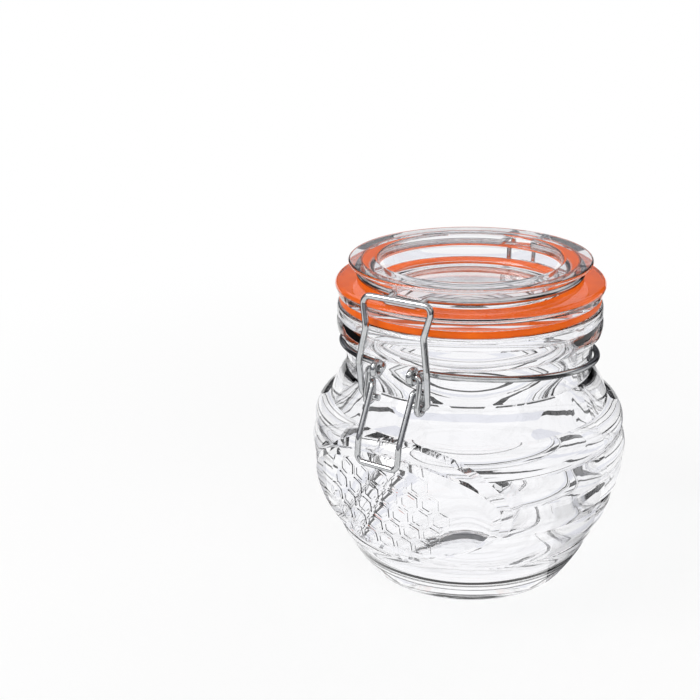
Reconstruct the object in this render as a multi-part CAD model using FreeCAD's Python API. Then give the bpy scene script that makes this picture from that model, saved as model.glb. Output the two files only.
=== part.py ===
"""A small glass honey pot with a hinged glass lid, a rubber seal and a wire toggle clip.

Millimetres. The origin is at the middle of the foot, +Z is up, the clip is on the -Y side and the hinge is
on the +Y side. Profiles are drawn in the XZ half plane as (radius, height) pairs and turned about Z. Each
wire is one rod, swept along straight runs joined by tangent bends.
"""

import FreeCAD, Part
import math
import os
from FreeCAD import Vector

# Body of the jar: a foot and four rounded tiers, one above the other, up to the shoulder.
body_radius = 51.1  # at the widest valley between two tiers
foot_height = 18.4  # base to the valley above the foot
foot_inset = 6.8  # how far that valley lies inside body_radius
foot_bulge = 0.5
foot_groove_width = 1.3  # of the sharp groove round the jar where the foot meets the tiers
foot_groove_depth = 0.6
base_radius = 31.7  # outer edge of the flat ring that the jar stands on
base_ring_width = 2.2
heel_radius = 4.3
base_push_up = 2.6  # height of the hollow under the base
push_up_share = 0.55  # flat middle of that hollow, as a share of base_radius
push_up_bend = 18.0
ring_edge = 0.9  # height of the edge inside the ring
# Each tier: its height, the inset of the valley at its top from body_radius, and how far its face bulges.
tiers = (
    (13.0, 2.1, 0.8),
    (10.4, 0.0, 0.8),
    (8.8, 1.1, 1.1),
    (10.1, 5.7, 2.5),
)
shoulder_rise = 9.6  # last valley to the foot of the neck groove
shoulder_bulge = 0.5

# Neck of the jar: a groove that holds the neck wire, a plain band, and a rounded lip.
neck_radius = 42.5
groove_depth = 2.6
groove_height = 11.8
groove_chamfer = 1.2  # height of the slope from the groove out to the band
band_height = 5.1
band_bulge = 0.4
lip_height = 3.9
lip_rounding = 1.1
mouth_radius = 35.4

# Glass thickness.
wall = 4.0
floor = 6.2
inner_heel_radius = 11.0

# Oval plaque raised on the front of the jar, with a honeycomb pattern.
plaque_centre_height = 38.6
plaque_half_width = 33.6
plaque_half_height = 17.8
plaque_rise = 1.8
plaque_bevel = 1.6
cell_width = 5.6  # across the flats of one hexagon
cell_gap = 0.9
cell_line = 0.8  # width of the raised line
cell_rise = 0.5
cells_in_rows = (5, 6, 7, 6, 5)

# Seal and lid.
seal_thickness = 2.4
seal_clearance = 0.1  # between the seal and the lip
seal_inner_radius = 32.0
seal_inset = 0.1  # from the lower edge of the lid flange
flange_overhang = 1.1  # lid flange beyond the neck
flange_edge = 4.8
flange_draft = 1.6  # how much narrower the flange is at its underside
flange_slope = 1.0  # rise from the edge of the flange to the groove
lid_groove_radius = 34.2
lid_groove_height = 4.0
rim_radius = 38.9
rim_edge = 1.6
recess_radius = 29.6
recess_draft = 2.2  # how much narrower the recess is at its floor
recess_floor = 0.9  # above the underside of the flange
plug_clearance = 0.4  # between the plug and the seal
plug_depth = 4.2
plug_ring_width = 4.0
plug_hollow = 1.7  # depth of the hollow under the plug

# Wires.
wire_diameter = 2.0  # neck wire, lid wire and bail
lever_diameter = 1.8
wire_clearance = 0.2  # between a wire ring and the glass
running_clearance = 0.08  # between a rod and the wire eye around it
wire_bend = 2.4
neck_wire_run = 2.88  # straight run where the neck wire leaves its ring
ring_bend = 1.8  # where the lid wire leaves its ring
catch_bend = 1.6
eye_bend = 1.2  # where the neck wire turns into its eyes
ring_runs = 4  # straight runs that half a ring is rounded from
eye_runs = 4

# Neck wire. Its ring leans in the groove, high at the clip.
neck_wire_top_gap = 0.28  # between the front of the ring and the top of the groove
neck_wire_foot_gap = 0.88  # between the back of the ring and the foot of the groove
eye_spacing = 12.6  # between the middles of the two eyes
eye_reach = 3.9  # axis of the eyes outside the neck wire
eye_sweep = 262.0  # degrees

# Hinge at the back.
hinge_reach = 3.0  # hinge axis outside the edge of the flange
hinge_drop = 6.8  # hinge axis below the top of the seal
hinge_half_width = 11.0
lid_eye_spacing = 12.0
lid_eye_sweep = 262.0

# Catch at the front of the lid wire, under the top bar of the bail.
catch_half_width = 5.6
catch_inset = 2.2  # middle of the cross bar inside the edge of the lid flange
catch_drop = 0.5  # below the lid wire
bar_angle = 40.0  # degrees up and outwards, from the catch to the top bar
bar_gap = 0.04

# Bail.
bail_half_width = 12.2
bail_waist_half_width = 10.0
bail_waist_drop = 1.4  # below the top of the seal
bail_belly_half_width = 11.9
bail_belly_drop = 12.2
bail_end_half_width = 11.5
bail_end_length = 6.0
bail_edge_clearance = 0.3  # between the bail and the edge of the flange

# Lever.
toggle_drop = 9.2  # bail axis below the lever axis
toggle_offset = 0.1  # bail axis outside the lever axis
hairpin_half_width = 9.0
lever_end_half_width = 4.4
loop_rise = 4.7  # top of the loop above the bail axis
loop_reach = 1.1  # shoulder of the handle outside the lever axis
handle_half_width = 7.1
knee_drop = 19.4  # below the lever axis
knee_clearance = 0.9  # between the knee and the widest part of the jar
knee_reach = 6.0  # least distance of the knee outside the bail axis
handle_drop = 26.4  # bottom bar below the lever axis
handle_clearance = 1.9  # between the bottom bar and the widest part of the jar
lever_bend = 1.8

# Heights and places that follow from the sizes above.
wire_radius = wire_diameter / 2
lever_radius = lever_diameter / 2
shoulder_height = foot_height + sum(tier[0] for tier in tiers) + shoulder_rise
groove_top = shoulder_height + groove_height
band_bottom = groove_top + groove_chamfer
band_top = band_bottom + band_height
lip_top = band_top + lip_height
lid_height = lip_top + seal_clearance + seal_thickness
groove_radius = neck_radius - groove_depth
flange_radius = neck_radius + flange_overhang
rim_bottom = lid_height + flange_edge + flange_slope + lid_groove_height
rim_top = rim_bottom + rim_edge
plug_radius = seal_inner_radius - plug_clearance
crest_radius = body_radius + max(tier[2] - tier[1] for tier in tiers)

# The neck wire's ring is round in its own leaning plane, and clears the groove all round.
neck_wire_rise = (groove_height - neck_wire_top_gap - neck_wire_foot_gap - wire_diameter) / 2
neck_wire_height = shoulder_height + neck_wire_foot_gap + wire_radius + neck_wire_rise
neck_wire_plan = groove_radius + wire_clearance + wire_radius
neck_wire_tilt = math.atan2(neck_wire_rise, neck_wire_plan)
neck_ring_radius = neck_wire_plan / math.cos(neck_wire_tilt)
lid_ring_radius = lid_groove_radius + wire_clearance + wire_radius
lid_ring_height = rim_bottom - lid_groove_height + wire_clearance + wire_radius
hinge_y = flange_radius + hinge_reach
hinge_z = lid_height - hinge_drop


def polar(centre, radius, degrees):
    """Point of a circle in the (outwards, up) plane, or in any plane of two coordinates."""
    angle = math.radians(degrees)
    return (centre[0] + radius * math.cos(angle), centre[1] + radius * math.sin(angle))


def flat(point):
    """A (radius, height) pair as a point of the XZ half plane."""
    return Vector(point[0], 0, point[1])


def toward(start, end, distance):
    """Point at a distance from start on the way to end, as pairs."""
    share = distance / math.hypot(end[0] - start[0], end[1] - start[1])
    return (start[0] + share * (end[0] - start[0]), start[1] + share * (end[1] - start[1]))


def at_front(x, out, height):
    """Point at x, at a distance out in front of the axis, and at a height."""
    return Vector(x, -out, height)


def rounded(points, radii):
    """Edges of straight runs through the points, with a tangent arc of its radius at each inner point."""
    edges = []
    start = points[0]
    for before, corner, after, radius in zip(points, points[1:], points[2:], radii):
        into = (corner - before).normalize()
        out = (after - corner).normalize()
        turn = into.getAngle(out)
        if radius <= 0 or turn < 1e-6:
            continue
        reach = radius * math.tan(turn / 2)
        first = corner - into * reach
        last = corner + out * reach
        middle = corner + (out - into).normalize() * (radius / math.cos(turn / 2) - radius)
        if (first - start).Length > 1e-4:
            edges.append(Part.LineSegment(start, first).toShape())
        edges.append(Part.Arc(first, middle, last).toShape())
        start = last
    if (points[-1] - start).Length > 1e-4:
        edges.append(Part.LineSegment(start, points[-1]).toShape())
    return edges


def bulged(start, end, sagitta):
    """Arc between two (radius, height) pairs that bulges to the right of the way from start to end."""
    along = (end[0] - start[0], end[1] - start[1])
    length = math.hypot(*along)
    middle = (
        (start[0] + end[0]) / 2 + sagitta * along[1] / length,
        (start[1] + end[1]) / 2 - sagitta * along[0] / length,
    )
    return Part.Arc(flat(start), flat(middle), flat(end)).toShape()


def turned(edges):
    """Solid made by turning a closed profile about Z."""
    wire = Part.Wire(Part.__sortEdges__(edges))
    solid = Part.Face(wire).revolve(Vector(0, 0, 0), Vector(0, 0, 1), 360)
    return solid if solid.ShapeType == "Solid" else Part.Solid(solid)


def rod(edges, radius):
    """Round wire swept along a path."""
    path = Part.Wire(edges)
    first = edges[0]
    start = first.valueAt(first.FirstParameter)
    direction = first.tangentAt(first.FirstParameter)
    section = Part.Wire(Part.Circle(start, direction, radius).toShape())
    return path.makePipeShell([section], True, False)


def arc_corners(centre, radius, start, sweep, pieces):
    """Corners of straight runs that touch an arc; rounded with the arc's radius they give the arc itself."""
    step = sweep / pieces
    outer = radius / math.cos(math.radians(step / 2))
    return [polar(centre, outer, start + (k + 0.5) * step) for k in range(pieces)]


def ring_leave(radius, run, half_width):
    """Where a wire ring turns into a straight run that ends at half_width from the middle plane.

    Gives the angle from the middle plane at which the run starts, and how far from the axis it ends.
    """
    angle = math.asin(half_width / math.hypot(radius, run)) + math.atan2(run, radius)
    return math.degrees(angle), radius * math.cos(angle) + run * math.sin(angle)


def half_ring(radius, height, slope, front_half_width, rear_half_width, run):
    """Right half of a wire ring: the corner in front, the corners of the ring and the corner behind."""
    front_angle, front_out = ring_leave(radius, run, front_half_width)
    rear_angle, rear_out = ring_leave(radius, run, rear_half_width)
    sweep = 180 - front_angle - rear_angle
    plan = [(front_half_width, -front_out)]
    plan += arc_corners((0, 0), radius, front_angle - 90, sweep, ring_runs)
    plan += [(rear_half_width, rear_out)]
    return [Vector(x, y * math.cos(slope), height - y * math.sin(slope)) for x, y in plan]


def mirrored(points):
    """The same points on the other side of the middle plane, in reverse order."""
    return [Vector(-point.x, point.y, point.z) for point in reversed(points)]


def outer_valleys():
    """(radius, height) of each valley of the body, from the foot up."""
    height = foot_height
    valleys = [(body_radius - foot_inset, height)]
    for tier_height, inset, _ in tiers:
        height += tier_height
        valleys.append((body_radius - inset, height))
    return valleys


def heel_touch(valley):
    """Where a straight line from the valley above the foot touches the round heel."""
    centre = (base_radius, heel_radius)
    across = math.hypot(valley[0] - centre[0], valley[1] - centre[1])
    to_valley = math.degrees(math.atan2(valley[1] - centre[1], valley[0] - centre[0]))
    return polar(centre, heel_radius, to_valley - math.degrees(math.acos(heel_radius / across)))


def jar_outside():
    """Edges of the outer profile, from the axis under the base to the top of the lip."""
    valleys = outer_valleys()
    touch = heel_touch(valleys[0])
    heel_low = (base_radius, 0)
    heel_angle = math.degrees(math.atan2(touch[1] - heel_radius, touch[0] - base_radius))
    heel_middle = polar((base_radius, heel_radius), heel_radius, (heel_angle - 90) / 2)
    ring_inside = (base_radius - base_ring_width, 0)
    under = rounded(
        [
            flat((0, base_push_up)),
            flat((base_radius * push_up_share, base_push_up)),
            flat((ring_inside[0] - 1.0, ring_edge)),
            flat(ring_inside),
            flat(heel_low),
        ],
        [push_up_bend, 1.5, 1.0],
    )
    edges = under + [Part.Arc(flat(heel_low), flat(heel_middle), flat(touch)).toShape()]
    groove_low = toward(valleys[0], touch, foot_groove_width / 2)
    groove_high = toward(valleys[0], valleys[1], foot_groove_width / 2)
    groove_deep = (valleys[0][0] - foot_groove_depth, valleys[0][1])
    edges.append(bulged(touch, groove_low, foot_bulge))
    edges.append(Part.Arc(flat(groove_low), flat(groove_deep), flat(groove_high)).toShape())
    for low, high, tier in zip([groove_high] + valleys[1:], valleys[1:], tiers):
        edges.append(bulged(low, high, tier[2]))
    groove_foot = (groove_radius + 0.5, shoulder_height)
    edges.append(bulged(valleys[-1], groove_foot, shoulder_bulge))
    edges += rounded(
        [
            flat(groove_foot),
            flat((groove_radius, shoulder_height + 0.5)),
            flat((groove_radius, groove_top)),
            flat((neck_radius, band_bottom)),
        ],
        [0.4, 0.8],
    )
    edges.append(bulged((neck_radius, band_bottom), (neck_radius, band_top), band_bulge))
    edges += rounded(
        [
            flat((neck_radius, band_top)),
            flat((neck_radius + 0.25, band_top + 0.6)),
            flat((neck_radius, lip_top)),
            flat((mouth_radius, lip_top)),
        ],
        [0.4, lip_rounding],
    )
    return edges


def jar_inside():
    """Edges of the inner profile, from the top of the lip to the axis above the floor."""
    valleys = outer_valleys()
    neck_inside = groove_radius - wall
    throat = (mouth_radius, lip_top - lip_rounding)
    places = [
        (mouth_radius + 0.9, band_top),
        (mouth_radius + 1.0, band_bottom),
        (neck_inside, shoulder_height + 0.35 * groove_height),
        (neck_inside + 1.6, shoulder_height - 1.5),
    ]
    places += [(radius - wall, height) for radius, height in reversed(valleys[1:])]
    heel_top = (valleys[0][0] - wall, floor + inner_heel_radius)
    wall_line = Part.BSplineCurve()
    wall_line.interpolate([flat(place) for place in [throat] + places + [heel_top]])
    heel_centre = (heel_top[0] - inner_heel_radius, heel_top[1])
    heel_middle = polar(heel_centre, inner_heel_radius, -45)
    heel_low = (heel_centre[0], floor)
    return [
        Part.LineSegment(flat((mouth_radius, lip_top)), flat(throat)).toShape(),
        wall_line.toShape(),
        Part.Arc(flat(heel_top), flat(heel_middle), flat(heel_low)).toShape(),
        Part.LineSegment(flat(heel_low), flat((0, floor + 0.6))).toShape(),
    ]


def plaque_root_radius():
    """How far in the plaque reaches: to the middle of the wall where the body is narrowest behind it."""
    return body_radius - foot_inset - 0.5 * wall


def plaque_face(rise):
    """Solid all round the jar, from inside the wall to the face of the plaque, raised by rise."""
    low = (body_radius - foot_inset + 0.9, foot_height + 0.5)
    middle = (crest_radius - 0.7, plaque_centre_height + 2.0)
    high = (crest_radius - 0.6, plaque_centre_height + plaque_half_height + 3.0)
    on_face = [flat((radius + rise, height)) for radius, height in (low, middle, high)]
    face = Part.Arc(*on_face).toShape()
    inside = plaque_root_radius()
    outline = [(high[0] + rise, high[1]), (inside, high[1]), (inside, low[1]), (low[0] + rise, low[1])]
    corners = [flat(place) for place in outline]
    return turned([face] + [Part.LineSegment(a, b).toShape() for a, b in zip(corners, corners[1:])])


def oval(half_width, half_height):
    """Oval prism that stands on the front of the jar."""
    centre = Vector(0, 0, plaque_centre_height)
    long_end = centre + Vector(half_width, 0, 0)
    short_end = centre + Vector(0, 0, half_height)
    edge = Part.Ellipse(long_end, short_end, centre).toShape()
    return Part.Face(Part.Wire(edge)).extrude(Vector(0, -2 * body_radius, 0))


def bevelled_plaque():
    """Oval plaque with a bevel round its face."""
    plaque = plaque_face(plaque_rise).common(oval(plaque_half_width, plaque_half_height))
    outer_edges = [edge for edge in plaque.Edges if on_plaque_rim(edge)]
    return plaque.makeChamfer(plaque_bevel, outer_edges)


def on_plaque_rim(edge):
    """Whether an edge runs round the outer face of the plaque."""
    points = edge.discretize(5)
    above = [(p.z - plaque_centre_height) / plaque_half_height for p in points]
    aside = [p.x / plaque_half_width for p in points]
    on_outline = all(abs(math.hypot(x, z) - 1) < 1e-3 for x, z in zip(aside, above))
    nearest = min(math.hypot(p.x, p.y) for p in points)
    return on_outline and nearest > plaque_root_radius() + 0.5


def hexagon(width):
    """Corners of an upright hexagon about the origin, by its width across the flats."""
    corner = width / math.sqrt(3)
    return [polar((0, 0), corner, 30 + 60 * k) for k in range(7)]


def cell(azimuth, height):
    """One raised hexagonal line of the honeycomb, standing on the plaque."""
    depth = 2 * plaque_rise + cell_rise
    stand = crest_radius - depth - 3.0
    outlines = []
    for width in (cell_width, cell_width - 2 * cell_line):
        points = [Vector(x, -stand, height + z) for x, z in hexagon(width)]
        outlines.append(Part.Face(Part.makePolygon(points)).extrude(Vector(0, -2 * depth - 6.0, 0)))
    ring = outlines[0].cut(outlines[1])
    ring.rotate(Vector(0, 0, 0), Vector(0, 0, 1), azimuth)
    return ring


def honeycomb():
    """The cells of the plaque, in staggered rows, cut level with each other."""
    pitch = cell_width + cell_gap
    row_pitch = pitch * math.sqrt(3) / 2
    cells = []
    for row, count in enumerate(cells_in_rows):
        height = plaque_centre_height + (row - (len(cells_in_rows) - 1) / 2) * row_pitch
        for column in range(count):
            arc = (column - (count - 1) / 2) * pitch
            cells.append(cell(math.degrees(arc / (crest_radius + plaque_rise)), height))
    level = plaque_face(plaque_rise + cell_rise)
    return Part.Compound(cells).common(level)


def jar():
    """Glass jar in one piece, with its plaque."""
    inside_floor = flat((0, floor + 0.6))
    axis = Part.LineSegment(inside_floor, flat((0, base_push_up))).toShape()
    outside = jar_outside()
    body = turned(outside + jar_inside() + [axis])
    return body.fuse([bevelled_plaque(), honeycomb()])


def lid_glass():
    """Glass lid: a flange, a groove for its wire, a rim round a recess, and a plug in the mouth."""
    z = lid_height
    slope_top = z + flange_edge + flange_slope
    points = [
        ((0, z + recess_floor), 0),
        ((recess_radius - recess_draft, z + recess_floor), 3.0),
        ((recess_radius, rim_top), 0.9),
        ((rim_radius, rim_top), 0.65),
        ((rim_radius - 0.2, rim_bottom + 0.2), 0.6),
        ((lid_groove_radius, rim_bottom), 0.7),
        ((lid_groove_radius, slope_top), 0.9),
        ((flange_radius, z + flange_edge), 1.5),
        ((flange_radius - flange_draft, z), 0.5),
        ((plug_radius, z), 0.2),
        ((plug_radius - 0.3, z - plug_depth), 0.9),
        ((plug_radius - plug_ring_width, z - plug_depth), 0.9),
        ((plug_radius - plug_ring_width - 2.0, z - plug_depth + plug_hollow), 1.5),
        ((0, z - plug_depth + plug_hollow + 0.4), 0),
    ]
    corners = [flat(place) for place, _ in points]
    edges = rounded(corners, [radius for _, radius in points[1:-1]])
    edges.append(Part.LineSegment(corners[-1], corners[0]).toShape())
    return turned(edges)


def seal():
    """Flat rubber ring under the lid flange."""
    outer = flange_radius - flange_draft - seal_inset
    top = lid_height
    bottom = top - seal_thickness
    corners = [
        (seal_inner_radius, bottom),
        (outer, bottom),
        (outer, top),
        (seal_inner_radius, top),
    ]
    start = (seal_inner_radius, (bottom + top) / 2)
    points = [flat(place) for place in [start] + corners + [start]]
    return turned(rounded(points, [0.4, 0.8, 0.4, 0.4]))


def eye_axis():
    """(out, height) of the axis of the two eyes at the front of the neck wire."""
    slope = neck_wire_tilt
    _, out = ring_leave(neck_ring_radius, neck_wire_run, eye_spacing / 2)
    start = (out * math.cos(slope), neck_wire_height + out * math.sin(slope))
    return (start[0] + eye_reach, start[1])


def neck_wire():
    """Wire ring in the neck groove, with two eyes for the lever in front and a hinge bar behind."""
    ring = half_ring(
        neck_ring_radius,
        neck_wire_height,
        neck_wire_tilt,
        eye_spacing / 2,
        hinge_half_width,
        neck_wire_run,
    )
    axis = eye_axis()
    eye_radius = wire_radius + lever_radius + running_clearance
    dip = math.degrees(math.asin(eye_radius / eye_reach))
    loop = arc_corners(axis, eye_radius, -90 - dip, eye_sweep, eye_runs)
    loop_end = polar(axis, eye_radius, -90 - dip + eye_sweep)
    eye = [at_front(eye_spacing / 2, *place) for place in [loop_end] + loop[::-1]]
    foot = ring[-1]
    riser = [Vector(hinge_half_width, hinge_y, foot.z + 1.8), Vector(hinge_half_width, hinge_y, hinge_z)]
    half = eye + ring + riser
    radii = [eye_radius] * len(loop) + [eye_bend] + [neck_ring_radius] * ring_runs + [wire_bend] * 3
    points = half + mirrored(half)
    return rod(rounded(points, radii + radii[::-1]), wire_radius)


def lid_wire():
    """Wire ring in the groove of the lid, with a catch in front and two eyes round the hinge bar behind."""
    ring = half_ring(lid_ring_radius, lid_ring_height, 0, catch_half_width, lid_eye_spacing / 2, wire_bend)
    eye_radius = wire_diameter + running_clearance
    axis = (hinge_y, hinge_z)
    side = lid_eye_spacing / 2
    loop = arc_corners(axis, eye_radius, 180, lid_eye_sweep, eye_runs)
    loop_end = polar(axis, eye_radius, 180 + lid_eye_sweep)
    leg_top = Vector(side, hinge_y - eye_radius, lid_ring_height)
    catch = at_front(catch_half_width, *catch_place())
    back = [leg_top] + [Vector(side, y, z) for y, z in loop] + [Vector(side, *loop_end)]
    half = back[::-1] + ring[::-1] + [catch]
    radii = [eye_radius] * len(loop) + [wire_bend, ring_bend]
    radii += [lid_ring_radius] * ring_runs + [ring_bend, catch_bend]
    points = half + mirrored(half)
    return rod(rounded(points, radii + radii[::-1]), wire_radius)


def catch_place():
    """(out, height) of the cross bar of the catch."""
    return (flange_radius - catch_inset, lid_ring_height - catch_drop)


def bail_axis():
    """(out, height) of the axis on which the bail turns in the lever."""
    out, height = eye_axis()
    return (out + toggle_offset, height - toggle_drop)


def bail():
    """Wire frame that hooks over the catch and hangs in the loops of the lever."""
    bar = polar(catch_place(), wire_diameter + bar_gap, bar_angle)
    edge = flange_radius + bail_edge_clearance + wire_radius
    end_out, end_height = bail_axis()
    half = [
        at_front(bail_half_width, *bar),
        at_front(bail_waist_half_width, edge - 0.3, lid_height - bail_waist_drop),
        at_front(bail_belly_half_width, edge + 1.0, lid_height - bail_belly_drop),
        at_front(bail_end_half_width, end_out, end_height),
        at_front(bail_end_half_width - bail_end_length, end_out, end_height),
    ]
    radii = [2.2, 6.0, 6.0, 2.0]
    points = mirrored(half) + half
    return rod(rounded(points, radii[::-1] + radii), wire_radius)


def lever():
    """Handle of the clip. Its ends turn in the eyes of the neck wire, and its two loops carry the bail."""
    axis = eye_axis()
    pivot = bail_axis()
    loop_radius = wire_radius + lever_radius + running_clearance
    down = math.hypot(pivot[0] - axis[0], pivot[1] - axis[1])
    lean = math.asin(loop_radius / down) + math.atan2(pivot[0] - axis[0], axis[1] - pivot[1])
    low = pivot[1] - loop_radius
    front_low = (axis[0] + (axis[1] - low) * math.tan(lean), low)
    back_low = (pivot[0] - loop_radius, low)
    top = pivot[1] + loop_rise
    body = crest_radius + lever_radius
    knee = max(body + knee_clearance, pivot[0] + knee_reach)
    bottom_bar = knee - knee_clearance + handle_clearance
    half = [
        at_front(lever_end_half_width, *axis),
        at_front(hairpin_half_width, *axis),
        at_front(hairpin_half_width, *front_low),
        at_front(hairpin_half_width, *back_low),
        at_front(hairpin_half_width, back_low[0], top),
        at_front(handle_half_width, axis[0] + loop_reach, top),
        at_front(handle_half_width, knee, axis[1] - knee_drop),
        at_front(handle_half_width, bottom_bar, axis[1] - handle_drop),
    ]
    radii = [1.5, loop_radius, loop_radius, lever_bend, lever_bend, 7.0, 2.2]
    points = half + mirrored(half)
    return rod(rounded(points, radii + radii[::-1]), lever_radius)


def main():
    os.makedirs("parts", exist_ok=True)
    pieces = {
        "jar": jar,
        "lid_glass": lid_glass,
        "seal": seal,
        "neck_wire": neck_wire,
        "lid_wire": lid_wire,
        "bail": bail,
        "lever": lever,
    }
    for name, make in pieces.items():
        shape = make()
        print(name, len(shape.Solids), "valid", shape.isValid(), "volume", round(shape.Volume, 1))
        shape.exportStep(f"parts/{name}.step")
    print("lever axis", [round(value, 3) for value in eye_axis()])
    print("bail axis", [round(value, 3) for value in bail_axis()])
    print("hinge axis", round(hinge_y, 3), round(hinge_z, 3))
    print("top", round(rim_top, 3))


main()
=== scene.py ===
"""Looks of the honey pot: clear pressed glass, an orange rubber seal and a wire clip, on a white floor.

Metres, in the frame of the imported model: the origin is at the middle of the foot, +Z is up and the clip
is on -Y.
"""

import math

import bpy
from mathutils import Matrix, Vector


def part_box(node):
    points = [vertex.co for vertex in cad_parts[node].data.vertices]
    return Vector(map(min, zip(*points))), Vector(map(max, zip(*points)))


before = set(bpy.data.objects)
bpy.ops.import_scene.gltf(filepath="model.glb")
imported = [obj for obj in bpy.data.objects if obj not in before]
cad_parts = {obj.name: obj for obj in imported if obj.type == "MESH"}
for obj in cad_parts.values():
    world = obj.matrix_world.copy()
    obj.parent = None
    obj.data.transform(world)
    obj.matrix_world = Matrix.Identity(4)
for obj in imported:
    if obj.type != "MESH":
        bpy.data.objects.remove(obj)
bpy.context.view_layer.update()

# Places that everything else follows.
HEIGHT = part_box("lid_glass")[1].z
CENTRE = Vector((0, 0, HEIGHT / 2))

# The camera stands in front and to the right of the clip and looks down on the lid.
CAMERA_TURN = 29.0  # degrees from the clip, about the axis of the jar
CAMERA_DISTANCE = 0.35438  # from the axis of the jar
CAMERA_HEIGHT = 0.20271
CAMERA_YAW = -6.290  # degrees to the right of the axis of the jar
CAMERA_PITCH = 19.923  # degrees down
CAMERA_ROLL = -1.234  # degrees that its right side is raised
CAMERA_LENS = 58.732  # millimetres, like the sensor
CAMERA_SENSOR = 36.0
CAMERA_CLIP = (0.01, 50.0)

# Colours of the studio.
WHITE = (1.0, 1.0, 1.0)
LILAC = (0.82, 0.83, 0.88)
BLACK = (0.015, 0.015, 0.015)
CARD = (0.05, 0.05, 0.055)

# Lamps, as (name, place, width, depth, watts, whether it shows in reflections).
LAMPS = (
    ("key", (-0.45, -0.55, 0.75), 0.5, 0.5, 4.5, True),
    ("fill", (0.7, -0.35, 0.5), 0.5, 0.5, 1.8, False),
    ("back", (0.1, 0.8, 0.6), 0.6, 0.4, 2.2, False),
)
SKY_LIGHT = 0.45  # on matt surfaces, from all sides

# Strips all round, by height above the horizon in degrees, that rays through glass see.
PANELS = (
    (2.0, 4.0, BLACK),
    (8.0, 10.0, BLACK),
    (15.0, 22.0, LILAC),
    (26.0, 30.0, BLACK),
    (46.0, 48.0, BLACK),
    (60.0, 68.0, LILAC),
    (72.0, 75.0, BLACK),
)
# What reflections see instead, darker and in wider strips.
GLOSS_PANELS = (
    (0.0, 9.0, (0.10, 0.10, 0.11)),
    (9.0, 26.0, (0.30, 0.30, 0.33)),
    (46.0, 54.0, BLACK),
    (66.0, 76.0, BLACK),
)
# Upright dark cards that only reflections see, by degrees round the pot from the camera's side.
GLOSS_CARDS = ((52.0, 92.0), (136.0, 150.0), (228.0, 262.0))

# Floor.
FLOOR_REACH = 40 * HEIGHT
FLOOR_COLOUR = (0.95, 0.95, 0.95)
FLOOR_GLOW = 0.72  # share of the floor round the pot that shows plain white, the rest takes the shadow
SHADOW_REACH = (0.12, 0.40)  # between these distances from the axis the floor turns all white
# Rings on the floor that only reflections and glass show, by distance from the axis.
RINGS = (
    (0.0475, 0.0495, BLACK),
    (0.054, 0.060, LILAC),
    (0.064, 0.069, BLACK),
    (0.0755, 0.0795, BLACK),
    (0.092, 0.098, LILAC),
    (0.126, 0.133, BLACK),
    (0.155, 0.175, LILAC),
    (0.200, 0.212, BLACK),
    (0.320, 0.350, BLACK),
    (0.400, 0.500, LILAC),
    (0.600, 0.680, LILAC),
)
RING_REACH = 0.8  # distance at the end of the rings' colour ramp
GLASS_SEES_GLOW = 0.97  # share of the floor that reflections and glass show as these rings

# Glass.
GLASS_COLOUR = (0.99, 0.99, 1.0)
GLASS_SHADOW = (0.93, 0.94, 0.94)  # light that passes through to what lies behind
GLASS_IOR = 1.5
RIPPLE_STRENGTH = 0.08
RIPPLE_DETAIL = 1.0
JAR_RIPPLE = (0.014, 0.0004)  # size and depth
LID_RIPPLE = (0.012, 0.0002)

# Rubber and steel are uneven in patches: the colours stand at their places in the noise.
PATCH_DETAIL = 4.0

# Rubber.
RUBBER_SCALE = 160.0  # of the patches
RUBBER_COLOURS = ((0.3, (0.86, 0.120, 0.003)), (0.7, (0.93, 0.155, 0.005)))
RUBBER_ROUGHNESS = (0.34, 0.5)
RUBBER_SPECULAR = 0.2
GRAIN_SCALE = 2600.0
GRAIN_DETAIL = 2.0
GRAIN_STRENGTH = 0.25
GRAIN_DEPTH = 0.00005
SEAL_LET_OUT = 0.00003

# Steel wire.
STEEL_SCALE = 420.0  # of the patches
STEEL_COLOURS = ((0.3, (0.60, 0.61, 0.62)), (0.7, (0.72, 0.73, 0.73)))
STEEL_ROUGHNESS = (0.10, 0.22)
# Painted shade: a dark tint of reflections at grazing angles darkens the wire along its edges.
STEEL_PAINTED_EDGE_SHADE = (0.12, 0.12, 0.13)

# Sockets of a Mix node that mixes colours.
MIX_SHARE, MIX_A, MIX_B, MIX_RESULT = 0, 6, 7, 2


def make_camera():
    """Camera at the viewing angle of the picture."""
    data = bpy.data.cameras.new("camera")
    data.sensor_width = CAMERA_SENSOR
    data.lens = CAMERA_LENS
    data.clip_start, data.clip_end = CAMERA_CLIP
    obj = bpy.data.objects.new("camera", data)
    bpy.context.scene.collection.objects.link(obj)
    turn = math.radians(CAMERA_TURN)
    yaw, pitch, roll = (math.radians(a) for a in (CAMERA_YAW, CAMERA_PITCH, CAMERA_ROLL))
    ahead = Vector((math.sin(yaw) * math.cos(pitch), math.cos(yaw) * math.cos(pitch), -math.sin(pitch)))
    right = Vector((math.cos(yaw), -math.sin(yaw), 0))
    up = right.cross(ahead)
    tilted_right = math.cos(roll) * right + math.sin(roll) * up
    tilted_up = math.cos(roll) * up - math.sin(roll) * right
    about_jar = Matrix.Rotation(turn, 3, "Z")
    axes = Matrix([about_jar @ v for v in (tilted_right, tilted_up, -ahead)]).transposed()
    place = about_jar @ Vector((0, -CAMERA_DISTANCE, CAMERA_HEIGHT))
    obj.matrix_world = Matrix.Translation(place) @ axes.to_4x4()
    bpy.context.scene.camera = obj


def make_lamp(name, place, width, depth, watts, glints):
    """Soft lamp that looks at the middle of the pot. It never shows through the glass."""
    data = bpy.data.lights.new(name, "AREA")
    data.shape = "RECTANGLE"
    data.size, data.size_y = width, depth
    data.energy = watts
    obj = bpy.data.objects.new(name, data)
    bpy.context.scene.collection.objects.link(obj)
    obj.location = place
    obj.rotation_mode = "QUATERNION"
    obj.rotation_quaternion = (CENTRE - Vector(place)).to_track_quat("-Z", "Y")
    obj.visible_transmission = False
    obj.visible_glossy = glints


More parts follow.
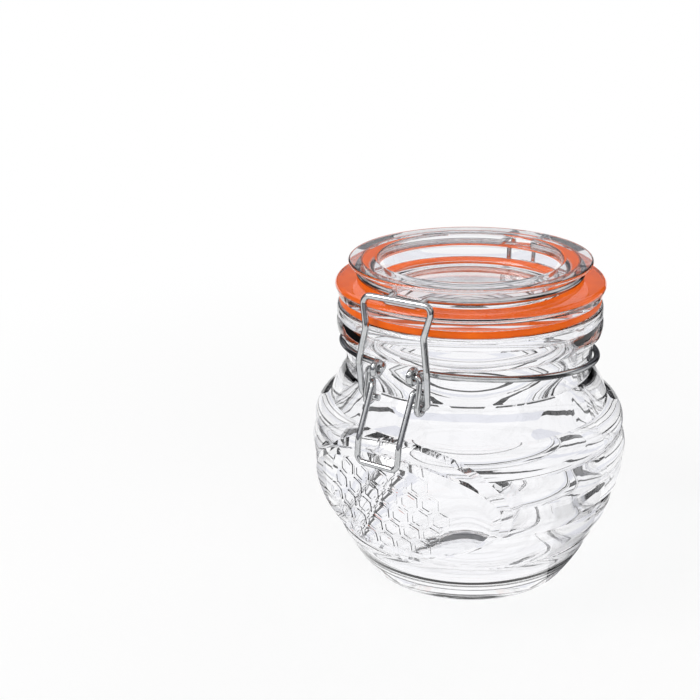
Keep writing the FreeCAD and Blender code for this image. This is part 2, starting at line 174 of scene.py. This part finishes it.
class Nodes:
    """A node tree that starts empty, with the few kinds of node that this scene is made of."""

    def __init__(self, owner):
        owner.use_nodes = True
        self.tree = owner.node_tree
        self.tree.nodes.clear()

    def add(self, kind, inputs=None, **settings):
        """New node. An input that is given a socket is joined to it; a colour or a number is set."""
        node = self.tree.nodes.new(kind)
        for key, value in settings.items():
            setattr(node, key, value)
        for key, value in (inputs or {}).items():
            if isinstance(value, bpy.types.NodeSocket):
                self.tree.links.new(value, node.inputs[key])
            else:
                node.inputs[key].default_value = (*value, 1) if isinstance(value, tuple) else value
        return node

    def maths(self, operation, a, b, **settings):
        """Result of an operation on two numbers."""
        return self.add("ShaderNodeMath", {0: a, 1: b}, operation=operation, **settings).outputs[0]

    def carried_over(self, value, source, target, **settings):
        """The value carried over from one range to another."""
        ends = (*source, *target)
        inputs = dict(zip(("From Min", "From Max", "To Min", "To Max"), ends), Value=value)
        return self.add("ShaderNodeMapRange", inputs, **settings).outputs[0]

    def mixed_colour(self, share, a, b, blend_type="MIX"):
        """Colour between a and b, or another blend of the two."""
        inputs = {MIX_SHARE: share, MIX_A: a, MIX_B: b}
        mix = self.add("ShaderNodeMix", inputs, data_type="RGBA", blend_type=blend_type)
        return mix.outputs[MIX_RESULT]

    def mixed_shader(self, share, a, b):
        """Shader node between the shader nodes a and b."""
        return self.add("ShaderNodeMixShader", {0: share, 1: a.outputs[0], 2: b.outputs[0]})

    def ramp(self, position, stops, interpolation="LINEAR"):
        """Colour from stops given as (position, colour)."""
        node = self.add("ShaderNodeValToRGB", {0: position})
        elements = node.color_ramp.elements
        while len(elements) > 1:
            elements.remove(elements[-1])
        for k, (place, colour) in enumerate(stops):
            element = elements[0] if k == 0 else elements.new(place)
            element.position = place
            element.color = (*colour, 1)
        node.color_ramp.interpolation = interpolation
        return node.outputs[0]

    def strips(self, position, bands):
        """Sharp strips of colour on white, given as (start, end, colour)."""
        stops = [(0.0, WHITE)]
        for low, high, colour in bands:
            stops += [(low, colour), (high, WHITE)]
        return self.ramp(position, stops, "CONSTANT")

    def noise(self, way, scale, detail):
        """Soft noise from 0 to 1."""
        inputs = {"Vector": way, "Scale": scale, "Detail": detail}
        return self.add("ShaderNodeTexNoise", inputs).outputs[0]

    def bump(self, height, strength, depth):
        """Surface direction over bumps of this height."""
        inputs = {"Height": height, "Strength": strength, "Distance": depth}
        return self.add("ShaderNodeBump", inputs).outputs[0]

    def seen_by_glass(self, path):
        """1 for a ray that gloss reflects or that comes through glass, and 0 for any other."""
        reflected, refracted = path.outputs["Is Glossy Ray"], path.outputs["Is Transmission Ray"]
        return self.maths("ADD", reflected, refracted, use_clamp=True)

    def cards(self, way, path):
        """Colour of the upright cards along a way out from the pot, as reflections see them."""
        inputs = {"Vector": way, "Angle": math.radians(90 - CAMERA_TURN)}
        from_camera = self.add("ShaderNodeVectorRotate", inputs, rotation_type="Z_AXIS")
        split = self.add("ShaderNodeSeparateXYZ", {0: from_camera.outputs[0]})
        angle = self.maths("ARCTAN2", split.outputs["Y"], split.outputs["X"])
        turn_share = self.carried_over(angle, (-math.pi, math.pi), (0.0, 1.0))
        shares = sorted(((low + 180) % 360 / 360, (high + 180) % 360 / 360) for low, high in GLOSS_CARDS)
        reflected = self.strips(turn_share, [(low, high, CARD) for low, high in shares])
        return self.mixed_colour(path.outputs["Is Transmission Ray"], reflected, WHITE)

    def end(self, kind, shader):
        """Output node, which shows the shader."""
        self.add(kind, {"Surface": shader.outputs[0]})


def by_rise(panels):
    """The same strips, by the upward part of the direction instead of degrees above the horizon."""
    return [(math.sin(math.radians(a)), math.sin(math.radians(b)), colour) for a, b, colour in panels]


def make_world():
    """White for the camera and plain light for matt surfaces. Glass and metal see strips and cards."""
    world = bpy.data.worlds.new("world")
    bpy.context.scene.world = world
    nodes = Nodes(world)
    path = nodes.add("ShaderNodeLightPath")
    way = nodes.add("ShaderNodeTexCoord").outputs["Generated"]
    rise = nodes.add("ShaderNodeSeparateXYZ", {0: way}).outputs["Z"]
    refracted = nodes.strips(rise, by_rise(PANELS))
    reflected = nodes.strips(rise, by_rise(GLOSS_PANELS))
    overhead = nodes.mixed_colour(path.outputs["Is Transmission Ray"], reflected, refracted)
    studio = nodes.mixed_colour(1.0, overhead, nodes.cards(way, path), "MULTIPLY")
    soft = nodes.add("ShaderNodeBackground", {"Color": WHITE, "Strength": SKY_LIGHT})
    panels = nodes.add("ShaderNodeBackground", {"Color": studio, "Strength": 1.0})
    white = nodes.add("ShaderNodeBackground", {"Color": WHITE, "Strength": 1.0})
    around = nodes.mixed_shader(nodes.seen_by_glass(path), soft, panels)
    nodes.end("ShaderNodeOutputWorld", nodes.mixed_shader(path.outputs["Is Camera Ray"], around, white))


def make_floor():
    """White floor that keeps a light shadow of the pot. Glass and metal see rings on it."""
    mesh = bpy.data.meshes.new("floor")
    signs = ((-1, -1), (1, -1), (1, 1), (-1, 1))
    mesh.from_pydata([(x * FLOOR_REACH, y * FLOOR_REACH, 0) for x, y in signs], [], [(0, 1, 2, 3)])
    floor = bpy.data.objects.new("floor", mesh)
    bpy.context.scene.collection.objects.link(floor)
    material = bpy.data.materials.new("floor")
    nodes = Nodes(material)
    path = nodes.add("ShaderNodeLightPath")
    by_camera = path.outputs["Is Camera Ray"]
    glass_share = nodes.maths("MULTIPLY", nodes.seen_by_glass(path), GLASS_SEES_GLOW)
    way = nodes.add("ShaderNodeTexCoord").outputs["Object"]
    distance = nodes.add("ShaderNodeVectorMath", {0: way}, operation="LENGTH").outputs["Value"]
    smooth = {"interpolation_type": "SMOOTHSTEP"}
    glow_share = nodes.carried_over(distance, SHADOW_REACH, (FLOOR_GLOW, 1.0), **smooth)
    share = nodes.maths("MAXIMUM", nodes.maths("MULTIPLY", by_camera, glow_share), glass_share)
    ring_shares = [(low / RING_REACH, high / RING_REACH, colour) for low, high, colour in RINGS]
    rings = nodes.strips(nodes.maths("DIVIDE", distance, RING_REACH), ring_shares)
    studio = nodes.mixed_colour(1.0, rings, nodes.cards(way, path), "MULTIPLY")
    glow_colour = nodes.mixed_colour(by_camera, studio, WHITE)
    matt = nodes.add("ShaderNodeBsdfDiffuse", {"Color": FLOOR_COLOUR})
    glow = nodes.add("ShaderNodeEmission", {"Color": glow_colour, "Strength": 1.0})
    nodes.end("ShaderNodeOutputMaterial", nodes.mixed_shader(share, matt, glow))
    mesh.materials.append(material)


def make_glass(name, ripple_size, ripple_depth):
    """Clear pressed glass with a faint ripple; lamps shine through it."""
    material = bpy.data.materials.new(name)
    nodes = Nodes(material)
    way = nodes.add("ShaderNodeTexCoord").outputs["Object"]
    ripple = nodes.noise(way, 1 / ripple_size, RIPPLE_DETAIL)
    glass = nodes.add(
        "ShaderNodeBsdfPrincipled",
        {
            "Base Color": GLASS_COLOUR,
            "Roughness": 0.0,
            "IOR": GLASS_IOR,
            "Transmission Weight": 1.0,
            "Normal": nodes.bump(ripple, RIPPLE_STRENGTH, ripple_depth),
        },
    )
    clear = nodes.add("ShaderNodeBsdfTransparent", {"Color": GLASS_SHADOW})
    by_lamp = nodes.add("ShaderNodeLightPath").outputs["Is Shadow Ray"]
    nodes.end("ShaderNodeOutputMaterial", nodes.mixed_shader(by_lamp, glass, clear))
    return material


def make_rubber():
    """Orange rubber, slightly uneven in colour and gloss."""
    material = bpy.data.materials.new("orange_rubber")
    nodes = Nodes(material)
    way = nodes.add("ShaderNodeTexCoord").outputs["Object"]
    patches = nodes.noise(way, RUBBER_SCALE, PATCH_DETAIL)
    grain = nodes.noise(way, GRAIN_SCALE, GRAIN_DETAIL)
    rubber = nodes.add(
        "ShaderNodeBsdfPrincipled",
        {
            "Base Color": nodes.ramp(patches, RUBBER_COLOURS),
            "Specular IOR Level": RUBBER_SPECULAR,
            "Roughness": nodes.carried_over(patches, (0.0, 1.0), RUBBER_ROUGHNESS),
            "Normal": nodes.bump(grain, GRAIN_STRENGTH, GRAIN_DEPTH),
        },
    )
    nodes.end("ShaderNodeOutputMaterial", rubber)
    return material


def make_steel():
    """Drawn steel wire, slightly uneven in colour and gloss, with painted shade along its edges from a
    dark reflection tint.
    """
    material = bpy.data.materials.new("steel_wire")
    nodes = Nodes(material)
    way = nodes.add("ShaderNodeTexCoord").outputs["Object"]
    patches = nodes.noise(way, STEEL_SCALE, PATCH_DETAIL)
    steel = nodes.add(
        "ShaderNodeBsdfPrincipled",
        {
            "Base Color": nodes.ramp(patches, STEEL_COLOURS),
            "Metallic": 1.0,
            "Specular Tint": STEEL_PAINTED_EDGE_SHADE,
            "Roughness": nodes.carried_over(patches, (0.0, 1.0), STEEL_ROUGHNESS),
        },
    )
    nodes.end("ShaderNodeOutputMaterial", steel)
    return material


def paint(node, material):
    """Gives a CAD node a material in all its slots."""
    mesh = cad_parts[node].data
    for k in range(len(mesh.materials)):
        mesh.materials[k] = material


def press_on(node, depth):
    """Lets a CAD node's surface out by a hair, so that it wets the glass and no film of air shows."""
    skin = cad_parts[node].modifiers.new("pressed_on", "DISPLACE")
    skin.mid_level = 0.0
    skin.strength = depth


make_camera()
make_world()
for lamp in LAMPS:
    make_lamp(*lamp)
make_floor()

paint("jar", make_glass("jar_glass_clear", *JAR_RIPPLE))
paint("lid_glass", make_glass("lid_glass_clear", *LID_RIPPLE))
paint("seal", make_rubber())
steel_wire = make_steel()
for wire in ("neck_wire", "lid_wire", "bail", "lever"):
    paint(wire, steel_wire)

press_on("seal", SEAL_LET_OUT)

bpy.context.scene.view_settings.view_transform = "Standard"
